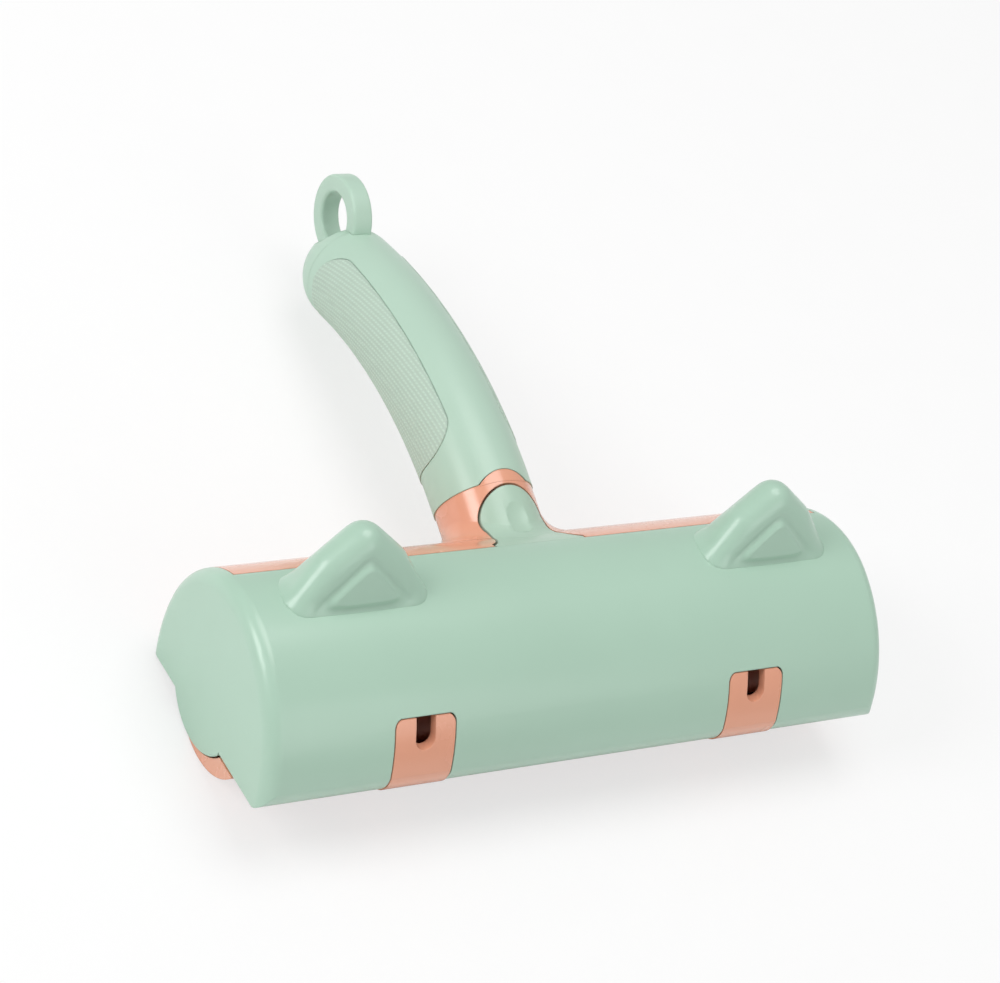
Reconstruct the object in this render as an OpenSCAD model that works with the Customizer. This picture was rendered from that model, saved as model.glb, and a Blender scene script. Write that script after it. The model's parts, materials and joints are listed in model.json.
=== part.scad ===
// Hair removal brush for pets: a rocking cloth roller under a hinged cover,
// with a curved handle. Lengths are in mm, +Z is up.
//
// The pieces are drawn in the brush's own frame: X runs along the roller, +Y goes
// back to the handle, and the origin is the middle of the body's oval section.
// placed() then lays the brush down as it comes to rest: on the roller and on the
// rear lower edge of the housing.

/* [Body] */
// Length of the body over both end walls
body_l = 190; // [150:1:230]
// Half of the section's long axis
oval_p = 38; // [32:0.5:46]
// Half of the section's short axis
oval_q = 33.5; // [29:0.5:37]
// Radius at the two ends of the long axis
oval_end_r = 31; // [24:0.5:33]
// Backward lean of the long axis, degrees
oval_lean = 22; // [0:1:35]
// Height of the housing's sole below the middle of the section
sole_drop = 4.5; // [0:0.1:8]
// Wall of the mouldings
wall = 2.2; // [1.4:0.1:3.2]
// Radius round both ends of the cover
end_round = 4.2; // [2:0.1:6]
// Radius of the end walls' lower edges
edge_round = 1.4; // [0.6:0.1:2]
// Radius of the cover's front lower corner
foot_round = 8; // [6:0.1:10]
// Height of the cover's lower edge above the sole
cover_lift = 0.5; // [0.2:0.1:1.5]
// Width of the rim that the cover wraps round each end
rim_w = 4.6; // [3:0.1:10]
// Parting gap between cover and housing
seam_gap = 0.25; // [0.2:0.05:0.8]
// Direction of the seam at the top, degrees from the horizontal
seam_dir = 72; // [60:1:85]
// Length of the lip under the seam
seam_lip = 3; // [1.5:0.1:5]

/* [Roller] */
// Roller axis, back from the middle of the section
axle_y = -1; // [-4:0.1:4]
// Roller axis, above the middle of the section
axle_z = 8; // [5:0.1:11]
// Radius of the plastic roller
drum_r = 19.2; // [15:0.1:19.4]
// Thickness of the cloth strips
velvet_t = 1.5; // [0.8:0.1:2.5]
// Wall of the roller
drum_wall = 2.2; // [1.4:0.1:3.2]
// Height of the roller's flat back above its axis
drum_flat = 4; // [1:0.1:8]
// Angle of the cloth strips' inner edges from the bottom, degrees
velvet_from = 4; // [2:0.5:12]
// Angle of the cloth strips' outer edges from the bottom, degrees
velvet_to = 68; // [50:1:78]
// Radius of the stub axles
axle_r = 4; // [2.5:0.1:6]
// Running clearance of pins and axles in their bores
run_gap = 0.05; // [0.02:0.01:0.1]
// Thickness of the bearing plates
plate_t = 2.6; // [1.8:0.1:4]
// Gap between bearing plates and the cover's end walls
plate_gap = 2.9; // [2:0.1:5]
// Gap between roller ends and bearing plates
drum_gap = 0.7; // [0.4:0.1:2]
// Depth of the bearing plates' lobes above the cloth's lowest line
plate_lift = 0.2; // [0.1:0.1:1]
// Middle of the lobes under the cover's end walls, back from the section's middle
end_lobe_y = 4.1; // [-1:0.1:6]
// Middle of the lobes under the cover's end walls, above the section's middle
end_lobe_z = 6.7; // [5:0.1:8]
// Radius of the lobes under the cover's end walls
end_lobe_r = 17.1; // [16:0.1:17.6]
// Gap round those lobes to the crescents of the bearing plates
end_lobe_gap = 0.5; // [0.3:0.1:1]
// Height of the two sole rails
rail_h = 4.3; // [3:0.1:6]
// Distance of the rails from the cloth at the sole
rail_gap = 3.1; // [2.8:0.1:4]
// Width of the rails
rail_w = 2.6; // [2:0.1:2.8]
// Thickness of the rubber lips
lip_t = 1.6; // [1:0.1:2.4]
// Depth of the rubber lips in their rails
lip_seat = 1.2; // [0.8:0.1:1.6]
// Gap between rubber lips and cloth
lip_gap = 0.35; // [0.3:0.05:0.8]

/* [Hinge] */
// Hinge axis, back from the middle of the section
hinge_y = -29.8; // [-31:0.1:-27]
// Hinge axis, above the middle of the section
hinge_z = 1.6; // [0:0.1:6]
// Distance of each hinge tab from the middle of the body
tab_x = 51; // [35:0.5:65]
// Width of the tabs
tab_w = 17.2; // [12:0.1:24]
// Reach of the tabs from the hinge axis
tab_reach = 16.6; // [13:0.1:20]
// Thickness of the tabs
tab_t = 2.6; // [1.8:0.1:3.6]
// Radius of the tabs' top corners
tab_corner = 2.4; // [1:0.1:4]
// Width of the slot in each tab
slot_w = 5.6; // [4.4:0.1:8]
// Height of the slot's foot above the hinge axis
slot_foot = 8.7; // [7:0.1:11]
// Radius of the hinge bosses
boss_r = 4; // [3.2:0.1:4.4]
// Radius of the hinge pins
pin_r = 1.5; // [1:0.1:2]
// Clearance of the pins in the tabs
pin_fit = 0.02; // [0.01:0.01:0.05]
// Thickness of the cover's hinge lugs
lug_t = 3; // [2:0.1:5]
// Gap between tab and lug
lug_gap = 0.4; // [0.3:0.05:1]

/* [Ears] */
// Distance of each ear from the middle of the body
ear_x = 63; // [50:0.5:72]
// Half width of the ears at the foot
ear_half = 19; // [12:0.5:24]
// Height of the ears' tips above the middle of the section
ear_top = 56.6; // [48:0.1:64]
// Radius of the ears' tips
ear_tip_r = 5.8; // [3:0.1:6]
// Radius of the ears' lower corners
ear_foot_r = 5; // [2.5:0.1:6]
// Depth of the ears at the foot
ear_depth = 15; // [12:0.1:16]
// Front foot of the ears, back from the middle of the section
ear_front = -6; // [-9:0.1:-3]
// Backward lean of the ears' front faces, degrees
ear_lean = 9; // [0:0.5:40]
// Rise of the triangles on the ears' faces
panel_t = 0.7; // [0.4:0.1:1.2]

/* [Handle] */
// Radius of the handle's curve
bend_r = 150.5; // [120:0.5:220]
// Direction of the handle where it leaves the neck, degrees above the horizontal
bend_from = 26; // [15:0.5:35]
// Direction of the handle at its tip, degrees above the horizontal
bend_to = -9.2; // [-25:0.2:0]
// Foot of the handle, back from the middle of the section
root_y = 40.6; // [38:0.1:46]
// Foot of the handle, above the middle of the section
root_z = 27.35; // [25:0.05:31]
// Radius of the handle
grip_r = 14; // [12:0.1:17]
// Wall of the handle's round end, which the ring's hole cuts into
tip_wall = 5.2; // [4:0.1:8]
// Wall of the handle
grip_wall = 2.2; // [1.6:0.1:3.2]
// Radius of the neck
neck_r = 13.7; // [12:0.1:15]
// Radius of the hollow where the neck grows out of the body
flare_r = 7.5; // [5:0.1:10]
// Length of the neck's tang inside the handle
tang_l = 30; // [15:1:60]
// Clearance of the tang in the handle
tang_fit = 0.05; // [0.02:0.01:0.15]
// Wall of the tang
tang_wall = 2.4; // [1.6:0.1:4]
// Thickness of the grip pads
pad_t = 1.2; // [0.8:0.1:1.6]
// Stand of the grip pads above the handle
pad_rise = 0.2; // [0:0.05:0.5]
// Rise of the pads' upper edges above the handle's middle line
pad_top = 10.9; // [6:0.1:12]
// Half gap between the two pads under the handle
pad_part = 1.5; // [0.8:0.1:4]
// Distance of the pads from the handle's foot
pad_start = 12; // [8:0.5:30]
// Distance of the pads from the handle's tip
pad_end = 3; // [0:0.5:20]
// Corner radius of the pads
pad_corner = 9; // [4:0.5:10]
// Ring's outer radius
ring_r = 12.4; // [9:0.1:15]
// Radius of the ring's hole
ring_hole = 7.3; // [4.5:0.1:9]
// Width of the ring
ring_w = 6.2; // [4:0.1:9]
// Radius of the ring's edges
ring_edge = 1; // [0.4:0.1:1.5]
// Depth that the ring is let into the tip
ring_seat = 2.5; // [0.5:0.1:4]
// Distance of the ring from the middle of the handle's tip
ring_out = 17.4; // [16.6:0.1:22]
// Direction of the ring from the tip, degrees above the horizontal
ring_dir = 44; // [0:1:90]
// Shank radius of the handle screw
screw_r = 1.5; // [1:0.1:2.5]
// Head radius of the handle screw
screw_head = 2.8; // [2:0.1:4]
// Gap between the screw's head and the grip pads
screw_room = 0.3; // [0.1:0.05:1]

/* [Thumb lobe] */
// Distance of the lobe's middle from the handle's foot, along the neck
lobe_s = 11; // [9:0.1:14]
// Radius of the lobe's round end
lobe_r = 9.4; // [7:0.1:11]
// Half width of the tongue at its waist
waist = 9.1; // [7:0.1:11]
// Half width of the tongue at the seam
tongue_foot = 13.6; // [11:0.1:18]
// Radius of the hollow sides of the tongue
tongue_side = 7; // [5:0.1:12]
// Thickness of the tongue
tongue_t = 2.6; // [1.8:0.1:4]
// Gap round the tongue
tongue_gap = 0.6; // [0.3:0.05:1.2]
// Gap between the tongue and the neck under it
tongue_under = 0.4; // [0.3:0.05:1]
// Peach land between the lobe and the top of the handle's round notch
land_w = 4.8; // [3:0.1:6]
// Radius of the round notch in the handle's edge
notch_r = 10.3; // [8:0.1:13]
// Radius of the dimple
dimple_r = 4.6; // [2:0.1:6]
// Depth of the dimple
dimple_d = 0.7; // [0.3:0.1:1.2]
// Length of the latch rib under the lobe
latch_l = 9; // [5:0.5:12]
// Radius of the latch rib
latch_r = 1; // [0.6:0.1:1.2]

/* [Quality] */
// Facets of the rounded ears
ear_fn = 28; // [16:4:48]
// Facets of the handle's tubes and ball
bend_fn = 56; // [32:4:72]

/* [Hidden] */
$fn = 96;
mint = [0.69, 0.79, 0.72];
mint_light = [0.74, 0.82, 0.76];
peach = [0.85, 0.56, 0.43];
steel = [0.75, 0.76, 0.78];
rubber_red = [0.62, 0.30, 0.24];
cloth = [0.80, 0.42, 0.36];
far = 200;

// The oval section is drawn with four arcs that meet smoothly.
oval_side_r = (oval_p * oval_p + oval_q * oval_q - 2 * oval_p * oval_end_r)
            / (2 * (oval_q - oval_end_r));
oval_end_c = oval_p - oval_end_r;
oval_side_c = oval_side_r - oval_q;
oval_join = atan2(oval_end_c, oval_side_c);
// The side arcs stop a little short of the join, where both arcs are 0.01 mm apart.
join_back = 1.5;
function join_u(inset) = oval_end_c + (oval_end_r - inset) * sin(oval_join) - join_back;

sole_z = -sole_drop;
cover_z = sole_z + cover_lift;
// The corner's arc starts a hair outside the oval, so that the two cross.
foot_y = front_y(cover_z + foot_round) + foot_round - 0.05;
// The cover's lower edge ends this far behind the hinge, to swing past the rail.
foot_end = hinge_y + 2;
// Front and rear faces of the oval at a height, from the side arcs
function front_y(z) = oval_side_c * cos(oval_lean)
    - sqrt(pow(oval_side_r, 2) - pow(z + oval_side_c * sin(oval_lean), 2));
function rear_y(z) = -oval_side_c * cos(oval_lean)
    + sqrt(pow(oval_side_r, 2) - pow(z - oval_side_c * sin(oval_lean), 2));

cloth_r = drum_r + velvet_t;
// Rest: the line from the rear lower edge touches the cloth from below.
edge_y = rear_y(sole_z);
edge_dist = norm([edge_y - axle_y, sole_z - axle_z]);
tip_deg = atan2(sole_z - axle_z, edge_y - axle_y) + asin(cloth_r / edge_dist);
floor_z = -axle_y * sin(tip_deg) + axle_z * cos(tip_deg) - cloth_r;

// Stations along X
inner_x = body_l / 2 - wall;
plate_x1 = inner_x - plate_gap;
plate_x0 = plate_x1 - plate_t;
rim_x = body_l / 2 - rim_w;
cap_t = 2;
cap_x1 = plate_x0 - drum_gap;
drum_x = cap_x1 - cap_t;

// Middle of the handle's curve, its tip, and directions seen from the middle
bend_y = root_y + bend_r * sin(bend_from);
bend_z = root_z - bend_r * cos(bend_from);
turn_root = 90 + bend_from;
turn_tip = 90 + bend_to;
tip_y = bend_y + bend_r * cos(turn_tip);
tip_z = bend_z + bend_r * sin(turn_tip);
ring_y = tip_y + ring_out * cos(ring_dir);
ring_z = tip_z + ring_out * sin(ring_dir);
neck_len = 24;
flare_dip = 0.15;
ring_step = 0.3;
function turn(len) = len / bend_r * 180 / PI;

// Middle of the whole brush, front to back, once it lies at rest
back_y = ring_y * cos(tip_deg) + ring_z * sin(tip_deg) + ring_r;
fore_y = (front_y(0)) * cos(tip_deg);
mid_y = (back_y + fore_y) / 2;

window_gap = seam_gap + 0.05;
tab_half = tab_w / 2;
window_half = tab_half + window_gap;
lug_x0 = tab_half + lug_gap;
lug_x1 = lug_x0 + lug_t;

module placed() {
    translate([0, -mid_y, -floor_z]) rotate([-tip_deg, 0, 0]) children();
}

// A flat shape drawn as (Y, Z), carried along X from x0 to x1
module along_x(x0, x1) {
    translate([x0, 0, 0]) rotate([90, 0, 90]) linear_extrude(x1 - x0) children();
}

module both_ends() {
    children();
    mirror([1, 0, 0]) children();
}

module oval2d(inset) {
    rotate(-oval_lean) union() {
        intersection() {
            translate([-oval_side_c, 0]) circle(oval_side_r - inset);
            translate([oval_side_c, 0]) circle(oval_side_r - inset);
            square([4 * oval_p, 2 * join_u(inset)], center = true);
        }
        translate([0, oval_end_c]) circle(oval_end_r - inset);
        translate([0, -oval_end_c]) circle(oval_end_r - inset);
    }
}

// A slice, as long as the body, of a disc with both edges rounded
module slice(r, from, to) {
    rotate([90, 0, 90]) rotate([0, 0, from]) rotate_extrude(angle = to - from) union() {
        translate([0, -body_l / 2]) square([r - end_round, body_l]);
        translate([0, -body_l / 2 + end_round]) square([r, body_l - 2 * end_round]);
        for (s = [-1, 1]) translate([r - end_round, s * (body_l / 2 - end_round)])
            circle(end_round);
    }
}

// Four slices meet where their arcs touch, and a core joins them.
module oval_solid() {
    rotate([-oval_lean, 0, 0]) union() {
        translate([0, -oval_side_c, 0]) slice(oval_side_r, -oval_join, oval_join);
        translate([0, oval_side_c, 0]) slice(oval_side_r, 180 - oval_join, 180 + oval_join);
        translate([0, 0, oval_end_c]) slice(oval_end_r, oval_join, 180 - oval_join);
        translate([0, 0, -oval_end_c]) slice(oval_end_r, 180 + oval_join, 360 - oval_join);
    }
    along_x(-body_l / 2, body_l / 2) oval2d(end_round + 1);
}

// What is above the sole, with the rounded front corner
module above2d(inset, base) {
    translate([-far, base + foot_round]) square([2 * far, far]);
    translate([foot_y, base + foot_round]) circle(foot_round - inset);
    translate([foot_y, base + inset]) square([far, foot_round - inset + 1]);
}

// What is behind the seam, whose face runs along the oval's normal
module behind_seam2d(turned) {
    translate([oval_end_c * sin(oval_lean), oval_end_c * cos(oval_lean)])
        rotate(seam_dir + turned) translate([0, -far]) square([far, far]);
    translate([oval_end_c * sin(oval_lean), -far])
        square([far, far + oval_end_c * cos(oval_lean)]);
}

module hinge_disc2d(r) { translate([hinge_y, hinge_z]) circle(r); }

// Outline of the tongue seen square to the neck, grown by g, as a solid
module tongue_plan(g) {
    pinch = lobe_s + 3.4;
    at_root() rotate([90, 0, 0]) linear_extrude(far) union() {
        translate([0, -lobe_s]) circle(lobe_r + g);
        difference() {
            translate([-tongue_foot - g, -far / 4])
                square([2 * (tongue_foot + g), far / 4 - lobe_s - 1.4]);
            for (s = [-1, 1]) translate([s * (waist + tongue_side), -pinch])
                circle(tongue_side - g);
        }
    }
}

// Frame of the neck: its middle line becomes +Z, pointing to the handle
module at_root() {
    translate([0, root_y, root_z]) rotate([bend_from - 90, 0, 0]) children();
}

module neck_rod(r, len) { at_root() translate([0, 0, -len]) cylinder(r = r, h = len); }

module bent_rod(r, from, to) {
    translate([0, bend_y, bend_z]) rotate([90, 0, 90]) rotate([0, 0, to])
        rotate_extrude(angle = from - to) translate([bend_r, 0]) circle(r, $fn = bend_fn);
}

module tip_ball(r) {
    translate([0, tip_y, tip_z]) rotate([bend_to, 0, 0]) intersection() {
        sphere(r, $fn = bend_fn);
        translate([-far, 0, -far]) cube(2 * far);
    }
}

module cover_shell() {
    color(mint) difference() {
        union() {
            cover_form();
            for (s = [-1, 1], t = [-1, 1]) translate([s * tab_x, 0, 0]) lug(t);
        }
        for (s = [-1, 1]) translate([s * tab_x, 0, 0])
            along_x(-lug_x1 - lug_gap, lug_x1 + lug_gap) hinge_disc2d(pin_r + run_gap);
    }
}

module cover_form() {
    difference() {
        union() {
            intersection() {
                oval_solid();
                along_x(-body_l, body_l) above2d(0, cover_z);
            }
            both_ends() along_x(inner_x, body_l / 2) intersection() {
                translate([end_lobe_y, end_lobe_z]) circle(end_lobe_r);
                translate([-far, -far]) square([2 * far, far + cover_z + 1]);
            }
        }
        along_x(-inner_x, inner_x) intersection() {
            oval2d(wall);
            union() {
                above2d(wall, cover_z);
                translate([foot_end, -far]) square([far, far]);
            }
        }
        along_x(-rim_x, rim_x) difference() {
            behind_seam2d(0);
            translate([-far, -far]) square([far, far + cover_z + foot_round]);
        }
        both_ends() foot_end_cut();
        for (s = [-1, 1]) translate([s * tab_x, 0, 0]) intersection() {
            along_x(-window_half, window_half)
                hinge_disc2d(tab_reach + window_gap);
            window_front(window_gap);
        }
    }
}

// Softens the end walls' lower edges in front of their lobes
module foot_end_cut() {
    len = oval_p + end_lobe_y
        - sqrt(pow(end_lobe_r, 2) - pow(end_lobe_z - cover_z, 2));
    translate([body_l / 2 - edge_round, -oval_p, cover_z - 1]) difference() {
        cube([edge_round + 1, len, edge_round + 1]);
        translate([0, -1, edge_round + 1]) rotate([-90, 0, 0])
            cylinder(r = edge_round, h = len + 2);
    }
}

// Front view of a tab, grown by g, as a solid through the front wall
module window_front(g) {
    translate([0, foot_y + wall + 20, 0]) rotate([90, 0, 0]) linear_extrude(60)
        tab_face(g);
}

module tab_face(g) {
    top = hinge_z + tab_reach + g;
    r = tab_corner;
    union() {
        translate([-tab_half - g, -far]) square([tab_w + 2 * g, far + top - r]);
        translate([-tab_half - g + r, 0]) square([tab_w + 2 * g - 2 * r, top]);
        for (s = [-1, 1]) translate([s * (tab_half + g - r), top - r]) circle(r);
    }
}

module lug(t) {
    x0 = t > 0 ? lug_x0 : -lug_x1;
    along_x(x0, x0 + lug_t) intersection() {
        hinge_disc2d(boss_r);
        oval2d(wall / 2);
        above2d(wall / 2, cover_z);
    }
}

// The neck with the hollow round its foot, d below its outer face
module neck_form(d) {
    neck_rod(neck_r - d, neck_len);
    neck_flare(d);
}

// A ball rolled round the foot of the neck leaves this hollow. Each rib runs from
// the neck's side to the body's face, and two points inside close its section. Its
// ends dip a little into the neck and the body, so that the faces cross clearly.
module neck_flare(d) {
    ribs = 48;
    steps = 7;
    side = steps + 4;
    points = [for (i = [0 : ribs - 1]) each flare_rib(i * 360 / ribs, steps, d)];
    at_root() polyhedron(points, [for (i = [0 : ribs - 1], k = [0 : side - 1])
        let (j = (i + 1) % ribs, m = (k + 1) % side)
            each [[i * side + k, j * side + k, j * side + m],
                  [i * side + k, j * side + m, i * side + m]]]);
}

// Body face as seen from the neck: middle and radius of the arc it lies on, in
// the neck's own frame, where y points down and z to the handle
function to_neck(p) = let (v = p - [root_y, root_z])
    [0, v[0] * sin(bend_from) - v[1] * cos(bend_from),
        v[0] * cos(bend_from) + v[1] * sin(bend_from)];
top_mid = to_neck([oval_end_c * sin(oval_lean), oval_end_c * cos(oval_lean)]);
rear_mid = to_neck([-oval_side_c * cos(oval_lean), oval_side_c * sin(oval_lean)]);
function roll_z(y, mid, reach) = mid[2] + sqrt(pow(reach, 2) - pow(y - mid[1], 2));

function flare_rib(a, steps, d) =
    let (out = [cos(a), sin(a), 0],
         ball = (neck_r + flare_r) * out,
         on_top = roll_z(ball[1], top_mid, oval_end_r + flare_r),
         on_rear = roll_z(ball[1], rear_mid, oval_side_r + flare_r),
         join = top_mid - rear_mid,
         top = join[1] * (on_top - top_mid[2]) > join[2] * (ball[1] - top_mid[1]),
         mid = top ? top_mid : rear_mid,
         c = [ball[0], ball[1], top ? on_top : on_rear],
         face = [0, c[1] - mid[1], c[2] - mid[2]] / norm([c[1] - mid[1], c[2] - mid[2]]),
         sweep = acos(out * face))
    concat(
        [c - (flare_r + d + 1) * out],
        [for (k = [0 : steps]) c - (flare_r + d + (k % steps == 0 ? flare_dip : 0))
            * (sin(sweep * (1 - k / steps)) * out + sin(sweep * k / steps) * face)
            / sin(sweep)],
        [c - (flare_r + d + 1) * face,
         [0, 0, c[2]] + (neck_r - d - 1) * out - (flare_r + 2) * [0, 0, 1]]);

module thumb_lobe() {
    color(mint) difference() {
        intersection() {
            tongue_plan(0);
            union() {
                neck_form(0);
                along_x(-tongue_foot - 1, tongue_foot + 1) oval2d(0);
            }
            along_x(-tongue_foot - 1, tongue_foot + 1) behind_seam2d(0);
        }
        neck_form(tongue_t);
        along_x(-far, far) oval2d(wall);
        at_lobe() intersection() {
            translate([0, 0, dimple_ball() - dimple_d]) sphere(dimple_ball());
            translate([0, 0, -dimple_d - 1]) cylinder(r = dimple_r + 0.4, h = dimple_d + 3);
        }
        latch_bar(latch_r + tongue_under);
    }
}

// Frame on the lobe's top, z outward
module at_lobe() {
    at_root() translate([0, -neck_r, -lobe_s]) rotate([90, 0, 0]) children();
}

// Rib along X on the floor under the lobe
module latch_bar(r) {
    half = latch_l / 2 + r - latch_r;
    at_lobe() translate([-half, 0, -tongue_t - tongue_under]) rotate([0, 90, 0])
        cylinder(r = r, h = 2 * half);
}

module latch_catch() {
    color(peach) difference() {
        latch_bar(latch_r);
        neck_rod(neck_r - tongue_t - tongue_under, neck_len);
    }
}

function dimple_ball() = (dimple_r * dimple_r + dimple_d * dimple_d) / (2 * dimple_d);

// Room for the tongue in the housing and the neck
module tongue_room() {
    difference() {
        tongue_plan(tongue_gap);
        neck_form(tongue_t + tongue_under);
        along_x(-far, far) oval2d(wall / 2);
    }
}

module ear_shape() {
    rise = tan(ear_lean);
    top_z = ear_top - ear_tip_r;
    foot_z = ear_base_z();
    // Balls sit behind the leaning front face by their own radius.
    face = 1 / cos(ear_lean);
    tip_ball_y = ear_front + (top_z - foot_z) * rise + ear_tip_r * face;
    foot_ball_y = ear_front + ear_foot_r * face;
    hull() {
        translate([0, tip_ball_y, top_z]) sphere(ear_tip_r, $fn = ear_fn);
        for (s = [-1, 1]) {
            translate([s * (ear_half - ear_foot_r), foot_ball_y, foot_z])
                sphere(ear_foot_r, $fn = ear_fn);
            translate([s * (ear_half - ear_foot_r - 1),
                       ear_front + ear_depth - ear_foot_r, foot_z - 2])
                sphere(ear_foot_r, $fn = ear_fn);
        }
    }
}

function ear_base_z() = 37;

module ear(s) {
    color(mint) difference() {
        translate([s * ear_x, 0, 0]) ear_shape();
        along_x(-body_l / 2, body_l / 2) oval2d(0);
    }
}

// Raised triangle with round corners on the leaning face
module ear_panel(s) {
    slope = 1 / cos(ear_lean);
    high = (ear_top - ear_base_z()) * slope;
    half = ear_half * 0.62;
    r = 1.8;
    color(mint) difference() {
        translate([s * ear_x, ear_front, ear_base_z()]) rotate([90 - ear_lean, 0, 0])
            linear_extrude(panel_t) hull() {
                translate([0, high * 0.66]) circle(r);
                for (t = [-1, 1]) translate([t * (half - r), r + 1]) circle(r);
            }
        along_x(-body_l / 2, body_l / 2) oval2d(0);
    }
}

module rear_housing() {
    rail_y0 = rear_rail_y();
    color(peach) difference() {
        union() {
            along_x(-rim_x + seam_gap, rim_x - seam_gap) difference() {
                intersection() {
                    oval2d(0);
                    behind_seam2d(-seam_turn());
                    translate([-far, sole_z]) square([2 * far, 2 * far]);
                }
                oval2d(wall);
            }
            along_x(-plate_x0, plate_x0) difference() {
                union() {
                    intersection() {
                        oval2d(wall / 2);
                        translate([rail_y0, sole_z]) square([far, wall]);
                    }
                    translate([rail_y0, sole_z]) square([rail_w, rail_h]);
                }
                lip2d(1, 0);
            }
            along_x(-plate_x0, plate_x0) seam_lip2d();
        }
        tongue_plan(tongue_gap);
        neck_rod(neck_r - tang_wall, neck_len);
    }
}

function seam_turn() = seam_gap / oval_end_r * 180 / PI;

// Two-step lip: it backs the housing's edge and reaches under the cover's
module seam_lip2d() {
    reach = seam_lip / oval_end_r * 180 / PI;
    intersection() {
        difference() { oval2d(wall); oval2d(wall + 1.3); }
        difference() { behind_seam2d(-seam_turn()); behind_seam2d(-reach); }
    }
    intersection() {
        difference() { oval2d(wall + seam_gap); oval2d(wall + 1.3); }
        difference() { behind_seam2d(reach); behind_seam2d(-seam_turn()); }
    }
}

// Half width of the roller, cloth included, at a height
function cloth_half(z) = sqrt(pow(cloth_r, 2) - pow(z - axle_z, 2));
function lip_z() = sole_z + rail_h / 2 - 0.3;
function rear_rail_y() = axle_y + cloth_half(sole_z) + rail_gap;
function front_rail_y() = axle_y - cloth_half(sole_z) - rail_gap;

// Section of a rubber lip: side 1 is the rear one
module lip2d(side, g) {
    y_in = axle_y + side * (cloth_half(lip_z() + lip_t / 2) + lip_gap);
    y_out = (side > 0 ? rear_rail_y() : front_rail_y()) + side * lip_seat;
    translate([min(y_in, y_out), lip_z() - lip_t / 2 - g])
        square([abs(y_out - y_in), lip_t + 2 * g]);
}

module wiper(side) {
    color(rubber_red) along_x(-plate_x0, plate_x0) lip2d(side, 0);
}

module front_rail() {
    color(peach) along_x(-plate_x0, plate_x0) difference() {
        translate([front_rail_y() - rail_w, sole_z]) square([rail_w, rail_h]);
        lip2d(-1, 0);
    }
}

module end_plate() {
    color(peach) union() {
        along_x(plate_x0, plate_x1) difference() {
            union() {
                intersection() {
                    oval2d(wall);
                    behind_seam2d(0);
                    translate([-far, sole_z]) square([2 * far, 2 * far]);
                }
                intersection() {
                    oval2d(wall + 2 * seam_gap);
                    translate([-far, sole_z]) square([2 * far, 2 * far]);
                }
                translate([axle_y, axle_z]) circle(cloth_r - plate_lift);
            }
            hinge_disc2d(foot_sweep());
            translate([-far + hinge_y, -far + hinge_z]) square([far, far]);
            translate([axle_y, axle_z]) circle(axle_r + run_gap);
        }
        along_x(plate_x0, body_l / 2 - end_lobe_gap) crescent2d();
    }
}

// What shows of a bearing plate's lobe outside the cover's own lobe
module crescent2d() {
    difference() {
        translate([axle_y, axle_z]) circle(cloth_r - plate_lift);
        translate([end_lobe_y, end_lobe_z]) circle(end_lobe_r + end_lobe_gap);
        translate([-far, cover_z - end_lobe_gap]) square([2 * far, far]);
    }
}

// Radius that the cover's lower edge sweeps about the hinge, with clearance
function foot_sweep() = norm([foot_end - hinge_y, cover_z - hinge_z]) + 0.6;

module hinge_tab() {
    color(peach) difference() {
        intersection() {
            along_x(-tab_half, tab_half) intersection() {
                oval2d(0);
                above2d(0, sole_z);
                hinge_disc2d(tab_reach);
                union() {
                    difference() { square(4 * far, center = true); oval2d(tab_t); }
                    hinge_disc2d(boss_r);
                    translate([hinge_y - far, sole_z])
                        square([front_rail_y() - rail_w - hinge_y + far, boss_r - 0.4]);
                }
                translate([-far, sole_z]) square([far + front_rail_y() - rail_w, far]);
            }
            window_front(0);
        }
        translate([0, 0, hinge_z + slot_foot + slot_w / 2]) rotate([90, 0, 0])
            linear_extrude(far) union() {
                circle(slot_w / 2);
                translate([-slot_w / 2, 0]) square([slot_w, far]);
            }
        along_x(-far, far) hinge_disc2d(pin_r + pin_fit);
    }
}

module hinge_pin() {
    color(steel) along_x(-lug_x1, lug_x1) hinge_disc2d(pin_r);
}

module neck() {
    color(peach) difference() {
        union() {
            difference() {
                neck_form(0);
                along_x(-far, far) oval2d(0);
                tongue_room();
            }
            bent_rod(grip_r - grip_wall - tang_fit, turn_root + turn(1),
                     turn_root - turn(tang_l));
        }
        bent_rod(grip_r - grip_wall - tang_fit - tang_wall, turn_root + 1,
                 turn_root - turn(tang_l) - 1);
        neck_rod(neck_r - tang_wall - tongue_t, neck_len);
        screw_axis() cylinder(r = screw_r, h = far);
    }
}

// Screw line under the handle, from the handle's middle line downward
module screw_axis() {
    a = turn_root - turn(tang_l / 2);
    translate([0, bend_y + bend_r * cos(a), bend_z + bend_r * sin(a)])
        rotate([a - 90, 0, 0]) mirror([0, 0, 1]) children();
}

module sleeve_screw() {
    color(steel) screw_axis() union() {
        translate([0, 0, grip_r - grip_wall - tang_fit - tang_wall + 0.2])
            cylinder(r = screw_r, h = grip_wall + tang_wall);
        translate([0, 0, grip_r - 1.5]) cylinder(r = screw_head, h = 1.3);
    }
}

module handle_sleeve() {
    color(mint) difference() {
        bent_rod(grip_r, turn_root, turn_tip);
        bent_rod(grip_r - grip_wall, turn_root + 1, turn_tip - 1);
        scallop();
        pad_shape(1, 0.1, 1);
        pad_shape(-1, 0.1, 1);
        screw_axis() cylinder(r = screw_r, h = far);
        screw_axis() translate([0, 0, grip_r - 1.5]) cylinder(r = screw_head, h = 3);
    }
}

module handle_tip() {
    color(mint) difference() {
        tip_ball(grip_r);
        translate([0, tip_y, tip_z]) sphere(grip_r - tip_wall, $fn = bend_fn);
        translate([-far / 2, ring_y, ring_z]) rotate([0, 90, 0])
            cylinder(r = ring_hole + ring_step, h = far);
        ring_form();
    }
}

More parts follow.
